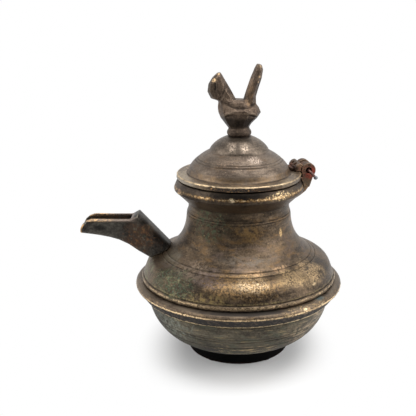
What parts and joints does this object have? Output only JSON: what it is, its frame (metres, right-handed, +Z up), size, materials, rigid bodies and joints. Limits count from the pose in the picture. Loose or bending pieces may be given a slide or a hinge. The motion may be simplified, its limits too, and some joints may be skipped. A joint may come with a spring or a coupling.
{
  "type": "water pot",
  "caption": "Brass water pot with a banded round belly, a waisted neck, a faceted open beak of a spout and a hinged domed lid with a bird for a knob.",
  "frame": {"origin": "the middle of the foot's flat underside, on the pot's turning axis", "axes": "+Z up along the pot's turning axis, -X towards the spout's lip"},
  "size_m": [0.1613, 0.129, 0.179],
  "materials": {
    "body_patina": "cast and turned brass under a brown patina, rubbed to a dull gold on the shoulder",
    "lower_patina": "grey-green patina with turning lines",
    "dark_patina": "nearly black soot and patina",
    "worn_brass": "patina worn to gold along the edges",
    "spout_patina": "dark patina with reddish brown patches and a coppery rim",
    "lid_patina": "brown-grey patina with fine turning marks",
    "bird_patina": "as-cast brown patina with rubbed high spots",
    "rusty_iron": "rusty brown",
    "wire": "dull drawn wire"
  },
  "bodies": {
    "pot_body": {"foot": "dark_patina", "lower_bowl": "lower_patina", "belly_band": "worn_brass", "upper_body": "body_patina", "mouth_collar": "body_patina", "spout": "spout_patina", "hinge_bracket": "rusty_iron"},
    "lid_body": {"lid": "lid_patina", "finial_seat": "lid_patina", "finial_bird": "bird_patina", "finial_washer": "worn_brass", "hinge_leaf": "rusty_iron", "leaf_rivet_1": "worn_brass", "leaf_rivet_2": "worn_brass"},
    "pin_body": {"hinge_pin": "wire"}
  },
  "joints": [
    {"name": "lid_hinge", "type": "hinge", "parent": "pot_body", "child": "lid_body", "pos_m": [0.04118, 0.00875, 0.1144], "axis": [-0.2079, 0.9781, 0], "range_deg": [0, 185]},
    {"name": "pin_turn", "type": "hinge", "parent": "pot_body", "child": "pin_body", "pos_m": [0.04118, 0.00875, 0.1144], "axis": [-0.2079, 0.9781, 0], "range_deg": [-30, 85]}
  ]
}
